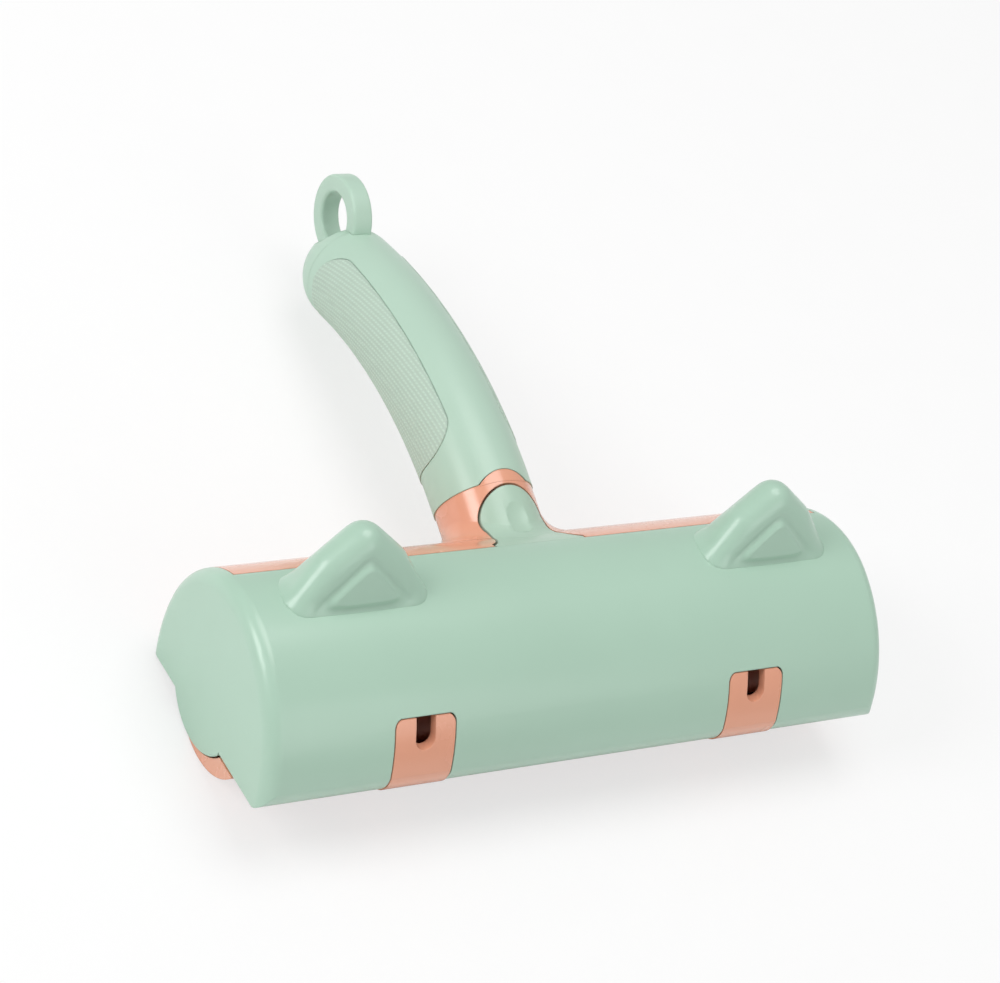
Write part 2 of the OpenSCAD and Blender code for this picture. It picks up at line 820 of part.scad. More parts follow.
// Round notch that leaves a land round the thumb lobe
module scallop() {
    at_lobe() translate([0, lobe_r + land_w - notch_r, -neck_r])
        cylinder(r = notch_r, h = far);
}

// Side view of a pad: a bent strip with round corners, carried to one side
module pad_prism(side, g) {
    a0 = turn_root - turn(pad_start);
    a1 = turn_tip + turn(pad_end);
    c = turn(pad_corner);
    top = bend_r + pad_top;
    x0 = side > 0 ? pad_part - g : -far;
    x1 = side > 0 ? far : -pad_part + g;
    along_x(x0, x1) translate([bend_y, bend_z]) union() {
        sector2d(top - pad_corner, a1 - turn(g), a0 + turn(g));
        sector2d(top + g, a1 + c, a0 - c);
        for (a = [a1 + c, a0 - c]) rotate(a) translate([top - pad_corner, 0])
            circle(pad_corner + g);
    }
}

// A slice of a disc between two directions less than 90 degrees apart
module sector2d(r, from, to) {
    intersection() {
        circle(r);
        rotate(from) square(far);
        rotate(to - 90) square(far);
    }
}

module grip_pad(side) {
    color(mint_light) difference() {
        pad_shape(side, 0, pad_rise);
        screw_axis() cylinder(r = screw_head + screw_room, h = far);
    }
}

// A pad that stands out of the handle by rise and is g larger than drawn
module pad_shape(side, g, rise) {
    slack = turn(1);
    intersection() {
        pad_prism(side, g);
        difference() {
            bent_rod(grip_r + rise, turn_root - slack, turn_tip + slack);
            bent_rod(grip_r + pad_rise - pad_t - g, turn_root, turn_tip);
        }
    }
}

module hang_ring() {
    color(mint) difference() {
        ring_form();
        translate([0, tip_y, tip_z]) sphere(grip_r - ring_seat);
        bent_rod(grip_r, turn_root, turn_tip);
    }
}

// The whole ring with rounded edges
module ring_form() {
    wide = ring_w - 2 * ring_edge;
    deep = ring_r - ring_hole;
    translate([0, ring_y, ring_z]) rotate([0, 90, 0]) rotate_extrude()
        translate([ring_hole, 0]) union() {
            translate([0, -wide / 2]) square([deep, wide]);
            translate([ring_edge, -ring_w / 2]) square([deep - 2 * ring_edge, ring_w]);
            for (s = [-1, 1], x = [ring_edge, deep - ring_edge])
                translate([x, s * wide / 2]) circle(ring_edge);
        }
}

module drum_section2d(r, flat) {
    intersection() {
        translate([axle_y, axle_z]) circle(r);
        translate([-far, axle_z + flat - far]) square([2 * far, far]);
    }
}

module drum_shell() {
    color(peach) along_x(-drum_x, drum_x) difference() {
        drum_section2d(drum_r, drum_flat);
        drum_section2d(drum_r - drum_wall, drum_flat - drum_wall);
    }
}

module drum_cap() {
    color(peach) union() {
        along_x(drum_x, cap_x1) drum_section2d(drum_r, drum_flat);
        along_x(cap_x1, plate_x1) translate([axle_y, axle_z]) circle(axle_r);
    }
}

module velvet(side) {
    from = side > 0 ? 270 + velvet_from : 270 - velvet_to;
    color(cloth) along_x(-drum_x, drum_x) translate([axle_y, axle_z]) difference() {
        sector2d(cloth_r, from, from + velvet_to - velvet_from);
        circle(drum_r);
    }
}

placed() cover_shell();
placed() thumb_lobe();
placed() ear(-1);  // ear_left
placed() ear(1);  // ear_right
placed() ear_panel(-1);  // ear_panel_left
placed() ear_panel(1);  // ear_panel_right
placed() rear_housing();
placed() mirror([1, 0, 0]) end_plate();  // end_plate_left
placed() end_plate();  // end_plate_right
placed() front_rail();
placed() translate([-tab_x, 0, 0]) hinge_tab();  // hinge_tab_left
placed() translate([tab_x, 0, 0]) hinge_tab();  // hinge_tab_right
placed() translate([-tab_x, 0, 0]) hinge_pin();  // hinge_pin_left
placed() translate([tab_x, 0, 0]) hinge_pin();  // hinge_pin_right
placed() wiper(-1);  // wiper_front
placed() wiper(1);  // wiper_rear
placed() neck();
placed() latch_catch();
placed() handle_sleeve();
placed() handle_tip();
placed() grip_pad(-1);  // grip_pad_left
placed() grip_pad(1);  // grip_pad_right
placed() hang_ring();
placed() sleeve_screw();
placed() drum_shell();
placed() mirror([1, 0, 0]) drum_cap();  // drum_cap_left
placed() drum_cap();  // drum_cap_right
placed() velvet(-1);  // velvet_front
placed() velvet(1);  // velvet_rear
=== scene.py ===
# %% [markdown]
# # A pet hair removal brush
# The real brush is moulded plastic: a mint cover over a peach housing, a cloth roller
# underneath, two ears to push against, and a curved mint handle with a hanging ring.
# The solids come from the CAD model, already in metres and standing at rest. They could be
# drawn again here, but then each size would live in two places. So Blender adds only the
# finishes, the soft forms that CAD draws plainly, the light and the camera.

# %% Load the solids
import bpy, bmesh, json, math, random
from mathutils import Matrix, Vector


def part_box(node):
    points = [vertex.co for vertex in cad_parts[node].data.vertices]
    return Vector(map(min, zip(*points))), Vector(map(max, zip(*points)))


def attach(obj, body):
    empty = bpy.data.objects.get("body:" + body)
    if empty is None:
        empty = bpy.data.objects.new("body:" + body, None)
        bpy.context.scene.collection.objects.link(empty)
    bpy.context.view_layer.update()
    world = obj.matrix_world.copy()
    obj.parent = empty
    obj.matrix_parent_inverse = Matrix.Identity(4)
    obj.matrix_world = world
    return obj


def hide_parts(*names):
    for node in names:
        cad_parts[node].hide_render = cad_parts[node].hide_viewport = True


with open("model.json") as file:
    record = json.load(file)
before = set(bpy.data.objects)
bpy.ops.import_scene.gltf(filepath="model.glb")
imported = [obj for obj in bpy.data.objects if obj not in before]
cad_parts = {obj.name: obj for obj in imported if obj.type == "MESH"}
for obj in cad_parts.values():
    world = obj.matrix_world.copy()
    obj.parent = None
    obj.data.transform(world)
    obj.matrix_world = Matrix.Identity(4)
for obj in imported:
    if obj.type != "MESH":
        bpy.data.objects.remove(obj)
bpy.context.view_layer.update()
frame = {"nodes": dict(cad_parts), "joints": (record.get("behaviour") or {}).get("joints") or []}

# %% [markdown]
# ## The level drawing and the position at rest
# The section of the brush is easiest to think about with its sole level, but the brush
# rests on its roller and its rear edge, so it stands a little tipped. The angle could be
# typed in, but the two joints tell it: the hinge and the roller's axle are known in both
# positions. One turn and one shift then carry every point of the level drawing, in
# millimetres, to the position at rest, in metres.

# %% From the level drawing to the position at rest
HINGE = (-29.8, 1.6)
AXLE = (-1.0, 8.0)
joint_at = {joint["name"]: Vector(joint["pos_m"]) * 1000 for joint in frame["joints"]}
hinge_at, axle_at = joint_at["cover_hinge"], joint_at["roller_rock"]
tip = (math.atan2(AXLE[1] - HINGE[1], AXLE[0] - HINGE[0])
       - math.atan2(axle_at.z - hinge_at.z, axle_at.y - hinge_at.y))


def turned(y, z):
    return (y * math.cos(tip) + z * math.sin(tip), z * math.cos(tip) - y * math.sin(tip))


shift = (axle_at.y - turned(*AXLE)[0], axle_at.z - turned(*AXLE)[1])


def place(x, y, z):
    """A point of the level drawing, in mm, where it is at rest, in metres."""
    back, up = turned(y, z)
    return Vector((x, back + shift[0], up + shift[1])) / 1000


print("tipped by", round(math.degrees(tip), 2), "degrees")

# %% [markdown]
# ## Finishes
# A colour is easiest to name as it looks on a screen, from 0 to 255. A shader counts light
# instead, so each value is unbent first. Darker and paler neighbours of a colour are worked
# out from it, so that changing one colour changes the whole finish.

# %% Colours
def paint(r, g, b):
    """A colour as a screen shows it, in the linear values that a shader expects."""
    return tuple((v / 255 / 12.92 if v <= 10 else ((v / 255 + 0.055) / 1.055) ** 2.4)
                 for v in (r, g, b)) + (1.0,)


def shade(colour, factor=1.0, lift=0.0):
    """The colour made darker, brighter or paler."""
    return tuple(min(1, c * factor + lift) for c in colour[:3]) + (1.0,)


print("mint in linear values:", [round(c, 3) for c in paint(176, 208, 188)])

# %% [markdown]
# Every finish is a small node tree. It could be wired by hand in the shader editor, node by
# node. Written in code, the same few steps come back each time: add a node, set it, connect
# it. This class does them in one call each. Textures read object coordinates, so that a
# pattern stays on its part when the part moves.

# %% A finish and its nodes
class Finish:
    """A material whose nodes are added and wired in one call each."""

    def __init__(self, name):
        self.material = bpy.data.materials.new(name)
        self.material.use_nodes = True
        self.nodes = self.material.node_tree.nodes
        self.links = self.material.node_tree.links
        self.shader = self.nodes["Principled BSDF"]
        self.coords = self.nodes.new("ShaderNodeTexCoord").outputs["Object"]

    def add(self, kind, settings=None, **wires):
        """Adds a node. A wire named i0 or i1 goes to the input with that number."""
        node = self.nodes.new("ShaderNode" + kind)
        for key, value in (settings or {}).items():
            setattr(node, key, value)
        for key, value in wires.items():
            numbered = key[1:].isdigit()
            self.wire(value, node.inputs[int(key[1:]) if numbered else key.replace("_", " ")])
        return node

    def wire(self, value, socket):
        if isinstance(value, bpy.types.NodeSocket):
            self.links.new(value, socket)
        else:
            socket.default_value = value

    def math(self, operation, a, b=0.0):
        return self.add("Math", {"operation": operation}, i0=a, i1=b).outputs[0]

    def noise(self, scale, detail=2.0, vector=None):
        return self.add("TexNoise", Vector=vector or self.coords, Scale=scale,
                        Detail=detail).outputs["Fac"]

    def ramp(self, value, low, high, to_low, to_high):
        return self.add("MapRange", Value=value, From_Min=low, From_Max=high,
                        To_Min=to_low, To_Max=to_high).outputs["Result"]

    def mix(self, factor, a, b):
        """Blends two colours. A Mix node keeps its colour inputs at numbers 6 and 7."""
        node = self.add("Mix", {"data_type": "RGBA"})
        self.wire(factor, node.inputs[0])
        self.wire(a, node.inputs[6])
        self.wire(b, node.inputs[7])
        return node.outputs[2]

    def set(self, **values):
        for key, value in values.items():
            self.wire(value, self.shader.inputs[key.replace("_", " ")])

    def bump(self, height, distance, strength=1.0, edge=None):
        """Sends a height to the shader's normal, over rounded edges where edge is given."""
        wires = dict(Height=height, Distance=distance, Strength=strength)
        if edge:
            wires["Normal"] = self.add("Bevel", {"samples": 6}, Radius=edge).outputs[0]
        self.set(Normal=self.add("Bump", **wires).outputs[0])


# %% [markdown]
# Most of the brush is moulded plastic. One flat colour would look like paint on a screen.
# A real moulding has three faint layers: a colour with a cloud in it, a gloss that wanders
# a little, and the fine grain of the steel mould. Each is one noise at its own scale. A
# Bevel node feeds the bump, so that crisp CAD edges catch the light as rounded ones do.

# %% Moulded plastic
CLOUDS, WANDER, MOULD_GRAIN = 18.0, 90.0, 1400.0


def plastic(name, colour, gloss=0.34, grain=0.25, edge=0.0004, coat=0.0):
    finish = Finish(name)
    cloud = finish.ramp(finish.noise(CLOUDS, 3.0), 0.3, 0.7, 0.0, 1.0)
    finish.set(Base_Color=finish.mix(cloud, shade(colour, 0.955), colour))
    wander = finish.noise(WANDER, 4.0)
    finish.set(Roughness=finish.ramp(wander, 0.3, 0.7, gloss - 0.03, gloss + 0.04), IOR=1.47)
    if coat:
        finish.set(Coat_Weight=coat, Coat_Roughness=0.16)
    finish.bump(finish.noise(MOULD_GRAIN, 1.0), 0.00001, grain, edge)
    return finish.material


mint_cover = plastic("mint_cover", paint(176, 208, 188), gloss=0.32, coat=0.35)
mint_handle = plastic("mint_handle", paint(184, 212, 194))
mint_lobe = plastic("mint_lobe", paint(180, 207, 188), gloss=0.3)
peach_housing = plastic("peach_housing", paint(235, 165, 134), gloss=0.25, coat=0.7)
peach_roller = plastic("peach_roller", paint(214, 124, 98), gloss=0.5, grain=0.5)
print("five plastics made")

# %% [markdown]
# The pads on the handle are a softer plastic with a fine woven relief: short raised
# stitches in slanting rows. Thousands of real stitches would be heavy, and they are only a
# tenth of a millimetre high, so a bump shows them well. The rows follow the bent handle, so
# the pattern needs the handle's own coordinates: the way along the bend and the way round
# the tube. Both come from a point's place by an arctangent, and two waves multiplied give
# the stitches, with every second row moved by half a stitch.

# %% Woven grip
BEND_R = 150.5
BEND_FROM = 26
BEND_MID = (40.6 + BEND_R * math.sin(math.radians(BEND_FROM)),
            27.35 - BEND_R * math.cos(math.radians(BEND_FROM)))
TUBE_R, ROW, STITCH, SLANT = 0.0142, 0.00125, 0.0011, 0.16


def woven(name, colour):
    finish = Finish(name)
    local = finish.add("VectorMath", {"operation": "SUBTRACT"}, i0=finish.coords,
                       i1=place(0, *BEND_MID)).outputs[0]
    side, back, up = finish.add("SeparateXYZ", Vector=local).outputs

    def times(a, b):
        return finish.math("MULTIPLY", a, b)

    along = times(finish.math("ARCTAN2", up, back), BEND_R / 1000)
    radius = finish.math("SQRT", finish.math("ADD", times(up, up), times(back, back)))
    out = finish.math("SUBTRACT", radius, BEND_R / 1000)
    around = times(finish.math("ARCTAN2", out, side), TUBE_R)
    slant = finish.math("ADD", around, times(along, SLANT))
    rows = finish.math("SINE", times(slant, 2 * math.pi / ROW))
    half = times(finish.math("FLOOR", finish.math("DIVIDE", slant, ROW)), 0.5)
    moved = finish.math("ADD", finish.math("DIVIDE", along, STITCH), half)
    stitch = finish.math("SINE", times(moved, 2 * math.pi))
    knots = times(finish.ramp(rows, -0.6, 1.0, 0.0, 1.0),
                  finish.ramp(stitch, -1.0, 0.6, 0.35, 1.0))
    finish.set(Base_Color=finish.mix(knots, shade(colour, 0.84), colour), IOR=1.45)
    finish.set(Roughness=finish.ramp(knots, 0.0, 1.0, 0.62, 0.46))
    finish.bump(knots, 0.00016, 0.8, 0.0003)
    return finish.material


grip = woven("woven_grip", paint(196, 218, 202))
print("woven grip, rows", ROW * 1000, "mm apart")

# %% [markdown]
# The lips along the roller are soft rubber: dull, and a little dusty, which a noise that
# pales the colour shows. The pins and the screw are drawn steel, and its fine lines are a
# noise stretched along the pin. Both are small and partly hidden, so they stay simple.

# %% Rubber and steel
def rubber(name, colour):
    finish = Finish(name)
    dust = finish.noise(400.0, 3.0)
    finish.set(Base_Color=finish.mix(finish.ramp(dust, 0.4, 0.75, 0, 0.5), colour,
                                     shade(colour, 1.5)))
    finish.set(Roughness=finish.ramp(dust, 0.3, 0.7, 0.55, 0.7))
    finish.bump(dust, 0.00003, 0.5, 0.0002)
    return finish.material


def steel(name):
    finish = Finish(name)
    stretched = finish.add("Mapping", Vector=finish.coords, Scale=(40.0, 2500.0, 2500.0))
    lines = finish.noise(1.0, 2.0, stretched.outputs[0])
    finish.set(Base_Color=finish.mix(lines, paint(172, 174, 178), paint(206, 207, 210)))
    finish.set(Metallic=1.0, Roughness=finish.ramp(lines, 0.3, 0.7, 0.24, 0.36))
    finish.bump(lines, 0.00001, 0.4, 0.0001)
    return finish.material


lip_rubber = rubber("lip_rubber", paint(140, 55, 40))
pin_steel = steel("pin_steel")
print("rubber and steel made")

# %% [markdown]
# The two strips on the roller are a deep coral pile. Its fibres are real geometry, made
# further down, and here they get their colour. Cloth also glows softly where light grazes
# it. A pale colour would fake that from one side only, so the shader's own sheen does it.

# %% Pile and its backing
def pile(name, colour, sheen=0.8):
    finish = Finish(name)
    patch = finish.ramp(finish.noise(240.0, 4.0), 0.3, 0.7, 0, 1)
    finish.set(Base_Color=finish.mix(patch, shade(colour, 0.6), colour))
    finish.set(Roughness=0.85, Sheen_Weight=sheen, Sheen_Roughness=0.4)
    finish.set(Sheen_Tint=shade(colour, lift=0.35))
    finish.bump(finish.noise(3000.0), 0.00008, 0.6)
    return finish.material


coral_pile = pile("coral_pile", paint(178, 62, 46))
backing_cloth = pile("backing_cloth", paint(140, 44, 34), 0.3)
print("pile and backing made")

# %% [markdown]
# ## Smooth shading for the solids
# The solids arrive as triangles, and shaded as they are, a round cover would show facets.
# Smoothing everything would smear the crisp edges. So a small geometry-nodes modifier welds
# the triangles, forgets their stored normals and smooths every edge flatter than 32
# degrees, and Weighted Normal then keeps the large flat faces flat. The meshes themselves
# stay as the CAD made them.

# %% Smoothing modifiers
CRISP_FROM = math.radians(32)
WELD_WITHIN = 2e-6


def smoother():
    group = bpy.data.node_groups.new("weld_and_smooth", "GeometryNodeTree")
    for way in ("INPUT", "OUTPUT"):
        group.interface.new_socket("Geometry", in_out=way, socket_type="NodeSocketGeometry")
    nodes, links = group.nodes, group.links
    forget = nodes.new("GeometryNodeRemoveAttribute")
    forget.inputs["Name"].default_value = "custom_normal"
    weld = nodes.new("GeometryNodeMergeByDistance")
    weld.inputs["Distance"].default_value = WELD_WITHIN
    round_off = nodes.new("GeometryNodeSetShadeSmooth")
    crisp = nodes.new("GeometryNodeSetShadeSmooth")
    crisp.domain = "EDGE"
    crisp.inputs["Shade Smooth"].default_value = False
    last = nodes.new("NodeGroupInput").outputs[0]
    for node in (forget, weld, round_off, crisp):
        links.new(last, node.inputs["Geometry"])
        last = node.outputs[0]
    links.new(last, nodes.new("NodeGroupOutput").inputs[0])
    angle = nodes.new("GeometryNodeInputMeshEdgeAngle")
    sharp = nodes.new("FunctionNodeCompare")
    sharp.operation = "GREATER_THAN"
    links.new(angle.outputs["Unsigned Angle"], sharp.inputs[0])
    sharp.inputs[1].default_value = CRISP_FROM
    links.new(sharp.outputs[0], crisp.inputs["Selection"])
    return group


weld_and_smooth = smoother()


def smooth(piece):
    piece.modifiers.new("weld and smooth", "NODES").node_group = weld_and_smooth
    piece.modifiers.new("flat faces stay flat", "WEIGHTED_NORMAL").keep_sharp = True
    return piece


print("edges over", round(math.degrees(CRISP_FROM)), "degrees stay crisp")

# %% [markdown]
# ## Which solid wears which finish
# On the real brush each colour is one shot of plastic. The list below goes by finish, not by
# solid, so that it reads as the maker's own list of materials. Each solid brings a plain
# material from the CAD model, and the finish takes its place.

# %% Give every solid its finish
WORN_BY = {
    mint_cover: ["cover_shell", "ear_left", "ear_right", "ear_panel_left", "ear_panel_right"],
    mint_lobe: ["thumb_lobe"],
    mint_handle: ["handle_sleeve", "handle_tip", "hang_ring"],
    grip: ["grip_pad_left", "grip_pad_right"],
    peach_housing: ["rear_housing", "end_plate_left", "end_plate_right", "front_rail",
                    "hinge_tab_left", "hinge_tab_right", "neck", "latch_catch"],
    peach_roller: ["drum_shell", "drum_cap_left", "drum_cap_right"],
    lip_rubber: ["wiper_front", "wiper_rear"],
    pin_steel: ["hinge_pin_left", "hinge_pin_right", "sleeve_screw"],
    backing_cloth: ["velvet_front", "velvet_rear"],
}
for finish, names in WORN_BY.items():
    for name in names:
        solid = smooth(frame["nodes"][name])
        for number in range(len(solid.data.materials)):
            solid.data.materials[number] = finish
    print(finish.name, "on", len(names), "solids")

# %% [markdown]
# ## The ears
# The real ears are soft triangular pillows with a raised triangle on the front. CAD gives
# them as a hull of balls with a flat plate. They could be sculpted by hand, but then no
# size would have a name. Here the same balls, and two more that round the cheeks, set the
# form: one at the tip, and three at each side for the cheek, the front foot and the back.

# %% The balls of an ear
EAR_X, EAR_BASE, EAR_TOP = 63.0, 37.0, 56.6
EAR_HALF, EAR_FRONT, EAR_DEPTH = 19.0, -6.0, 15.0
EAR_LEAN = math.radians(9)
TIP_R, FOOT_R = 5.8, 5.0
CHEEK_OUT, CHEEK_UP, CHEEK_R = 8.0, 7.8, 5.4
BACK_IN, BACK_DOWN = 1, 2


def behind_face(up, radius):
    """How far back a ball sits to touch the leaning face, up mm over the base."""
    return EAR_FRONT + up * math.tan(EAR_LEAN) + radius * (1 / math.cos(EAR_LEAN))


def ear_balls(side):
    """Middle and radius of the seven balls, in the level drawing."""
    x, tip_z = side * EAR_X, EAR_TOP - TIP_R
    yield (x, behind_face(tip_z - EAR_BASE, TIP_R), tip_z), TIP_R
    for s in (-1, 1):
        cheek_x, foot_x = x + s * CHEEK_OUT, x + s * (EAR_HALF - FOOT_R)
        back_x = x + s * (EAR_HALF - FOOT_R - BACK_IN)
        back_y = EAR_FRONT + EAR_DEPTH - FOOT_R
        yield (cheek_x, behind_face(CHEEK_UP, CHEEK_R), EAR_BASE + CHEEK_UP), CHEEK_R
        yield (foot_x, behind_face(0, FOOT_R), EAR_BASE), FOOT_R
        yield (back_x, back_y, EAR_BASE - BACK_DOWN), FOOT_R


print("balls of an ear:", [round(radius, 1) for middle, radius in ear_balls(1)])

# %% [markdown]
# A hull pulled tight over the balls is smooth nowhere between them, and its triangles are
# long and thin. Remesh lays an even skin of small squares over it, and Smooth relaxes that
# skin as if it were soft. Both are modifiers, and their result becomes the ear's own mesh,
# because the next steps move its points one by one.

# %% Hull and relaxed skin
SKIN, RELAX = 0.55, 36


def new_piece(name, bm):
    mesh = bpy.data.meshes.new(name)
    bm.to_mesh(mesh)
    bm.free()
    piece = bpy.data.objects.new(name, mesh)
    bpy.context.scene.collection.objects.link(piece)
    return piece


def keep_result(piece):
    """Makes the result of the modifiers the piece's own mesh."""
    seen = bpy.context.evaluated_depsgraph_get()
    mesh = bpy.data.meshes.new_from_object(piece.evaluated_get(seen))
    piece.modifiers.clear()
    piece.data = mesh


def ear_skin(side, name):
    bm = bmesh.new()
    for middle, radius in ear_balls(side):
        bmesh.ops.create_icosphere(bm, subdivisions=4, radius=radius,
                                   matrix=Matrix.Translation(middle))
    hull = set(bmesh.ops.convex_hull(bm, input=bm.verts)["geom"])
    bmesh.ops.delete(bm, geom=[v for v in bm.verts if v not in hull], context="VERTS")
    piece = new_piece(name, bm)
    skin = piece.modifiers.new("even skin", "REMESH")
    skin.mode, skin.voxel_size = "VOXEL", SKIN
    relax = piece.modifiers.new("relax", "SMOOTH")
    relax.factor, relax.iterations = 0.5, RELAX
    keep_result(piece)
    highest = max(piece.data.vertices, key=lambda v: v.co.z)
    if highest.normal.z < 0:
        piece.data.flip_normals()
    return piece


# %% [markdown]
# The raised triangle on the ear's front is a part of the moulding, with a soft border and a
# faint groove round it. A separate plate would leave a hard line, as the CAD's does. So the
# depth inside a triangle is worked out for every point of the skin. Three straight edges
# blended by an exponential give soft corners, and the depth then sets how far the point is
# pushed out.

# %% The raised triangle
TRIANGLE = [(-12.2, 0.5), (12.2, 0.5), (0.0, 12.8)]
CORNER_BLEND = 0.9
RAISED, BORDER = 1.05, 0.1
GROOVE, GROOVE_AT, GROOVE_WIDE = 0.3, 0.8, 0.6


def ease(t):
    t = min(1.0, max(0.0, t))
    return t * t * (3 - 2 * t)


def depth_inside(x, up):
    """Depth in mm inside the triangle, with soft corners, and negative outside it."""
    total = 0.0
    for (ax, az), (bx, bz) in zip(TRIANGLE, TRIANGLE[1:] + TRIANGLE[:1]):
        edge = math.hypot(bx - ax, bz - az)
        depth = ((bx - ax) * (up - az) - (bz - az) * (x - ax)) / edge
        total += math.exp(-CORNER_BLEND * depth)
    return -math.log(total) / CORNER_BLEND


def raised_by(x, up):
    inside = depth_inside(x, up)
    groove = GROOVE * math.exp(-((inside + GROOVE_AT) / GROOVE_WIDE) ** 2)
    return RAISED * ease(inside + BORDER) - groove


print("raised at the middle by", round(raised_by(0, 4), 2), "mm")

# %% [markdown]
# Ear and cover are one moulding, so the ear's foot spreads into the cover with a small
# fillet. A boolean and a bevel could join them, but they are slow and leave rough edges.
# Here each point near the cover is moved outward, the more the closer it is, in the
# coordinates of the cover's round top: the way out from its middle and the way round it.

# %% The foot of the ear
OVAL_R, OVAL_SHIFT, OVAL_LEAN = 31.0, 7.0, math.radians(22)
OVAL_TOP = (OVAL_SHIFT * math.sin(OVAL_LEAN), OVAL_SHIFT * math.cos(OVAL_LEAN))
EAR_MIDDLE = math.atan2(1.2, OVAL_R)
SPREAD, NARROWER, LESS_BEHIND, SUNK = 3.2, 2.2, 0.8, 1.0


def on_cover(x, y, z, side):
    """A point of the ear where its fillet puts it, at rest and in metres."""
    back, up = y - OVAL_TOP[0], z - OVAL_TOP[1]
    out, angle = math.hypot(back, up), math.atan2(back, up)
    above = min(SPREAD, max(0.0, out - OVAL_R))
    flare = 0.5 * SPREAD * (1 - above / SPREAD) ** 2
    aside, along = x - side * EAR_X, (angle - EAR_MIDDLE) * out * NARROWER
    reach = math.hypot(aside, along) or 1.0
    if along > 0:
        flare *= 1 - LESS_BEHIND * along / reach
    x += flare * aside / reach
    angle += flare * along / reach / out
    out = max(out, OVAL_R - SUNK)
    return place(x, OVAL_TOP[0] + out * math.sin(angle), OVAL_TOP[1] + out * math.cos(angle))


print("the foot spreads by", 0.5 * SPREAD, "mm")

# %% [markdown]
# Now the steps come together for each ear. The triangle is only raised where the skin looks
# forward, so the way every point faces is noted before any point moves: reading it in the
# middle of the work would give a shape that depends on the order of the points. The new
# ears take the place of the plain ones, and ride on the cover when it opens.

# %% Both ears
def looks_forward(normal):
    """1 where the skin looks forward, 0 where it looks up or aside, and soft between."""
    return ease(-2 * normal.y - 0.6)


def ear(side, name):
    piece = ear_skin(side, name)
    facing = [looks_forward(v.normal) for v in piece.data.vertices]
    for v in piece.data.vertices:
        x, y, z = v.co
        lift = raised_by(x - side * EAR_X, (z - EAR_BASE) / math.cos(EAR_LEAN))
        lift *= facing[v.index]
        v.co = on_cover(x, y - lift * math.cos(EAR_LEAN), z + lift * math.sin(EAR_LEAN), side)
    return piece


def wear(piece, finish):
    piece.data.polygons.foreach_set("use_smooth", [True] * len(piece.data.polygons))
    piece.data.materials.append(finish)


for side, word in ((-1, "left"), (1, "right")):
    piece = ear(side, f"soft_ear_{word}")
    wear(piece, mint_cover)
    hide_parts(f"ear_{word}", f"ear_panel_{word}")
    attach(piece, "cover")
    print(piece.name, len(piece.data.vertices), "points")

# %% [markdown]
# ## The lip of the neck
# The handle's sleeve has a round notch over the thumb lobe, and the neck fills it with a
# small raised lip, so that a peach band runs round the lobe. A boolean could cut it from a
# tube. It is as short to write down as a patch of the bent tube's skin: a grid that ends at
# the notch's circle, once on the outside and once on the inside, with walls between them.

# %% Neck lip
LOBE_TO_SLEEVE, NOTCH_Y, NOTCH_R = 11.0, 3.9, 10.05
LIP_R, LIP_UNDER, LIP_TUCK = 13.75, 11.6, 0.4
COLUMNS, ROWS = 36, 8


def on_tube(x, along, radius):
    """A point on the bent tube's upper side, along mm past the sleeve's edge."""
    angle = math.radians(90 + BEND_FROM) - along / BEND_R
    high = BEND_R + math.sqrt(radius ** 2 - x ** 2)
    return place(x, BEND_MID[0] + high * math.cos(angle), BEND_MID[1] + high * math.sin(angle))


def lip_skin(bm, radius):
    """One grid of points of the lip. Each column ends at the notch's circle."""
    half = math.sqrt(NOTCH_R ** 2 - (LOBE_TO_SLEEVE - NOTCH_Y) ** 2)
    skin = []
    for i in range(COLUMNS + 1):
        x = -half + 2 * half * i / COLUMNS
        end = NOTCH_Y + math.sqrt(NOTCH_R ** 2 - x ** 2) - LOBE_TO_SLEEVE
        reach = [-LIP_TUCK + (end + LIP_TUCK) * k / ROWS for k in range(ROWS + 1)]
        skin.append([bm.verts.new(on_tube(x, along, radius)) for along in reach])
    return skin


bm = bmesh.new()
upper, lower = lip_skin(bm, LIP_R), lip_skin(bm, LIP_UNDER)
for skin in (upper, lower):
    for i in range(COLUMNS):
        for k in range(ROWS):
            bm.faces.new([skin[i][k], skin[i + 1][k], skin[i + 1][k + 1], skin[i][k + 1]])
for i in range(COLUMNS):
    for k in (0, ROWS):
        bm.faces.new([upper[i][k], lower[i][k], lower[i + 1][k], upper[i + 1][k]])
for k in range(ROWS):
    for i in (0, COLUMNS):
        bm.faces.new([upper[i][k], lower[i][k], lower[i][k + 1], upper[i][k + 1]])
bmesh.ops.recalc_face_normals(bm, faces=bm.faces)
neck_lip = smooth(new_piece("neck_lip", bm))
wear(neck_lip, peach_housing)
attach(neck_lip, "housing")
print("neck lip", len(neck_lip.data.polygons), "faces")

# %% [markdown]
# ## The cloth strips
# Two strips of pile are glued along the roller. The nap of each leans away from the other,
# which is what lifts hair in both directions. The cloth under the nap is a thin backing
# that is held stretched on the drum. A cloth simulation would only find that shape again,
# so it is drawn as what it is: a band with a thickness, bent round the drum.

# %% Backing
DRUM_R, PILE_H, BACKING, GLUE = 19.2, 1.5, 0.6, 0.02
ACROSS = 24


def on_drum(x, angle, radius):
    return place(x, AXLE[0] + radius * math.cos(angle), AXLE[1] + radius * math.sin(angle))


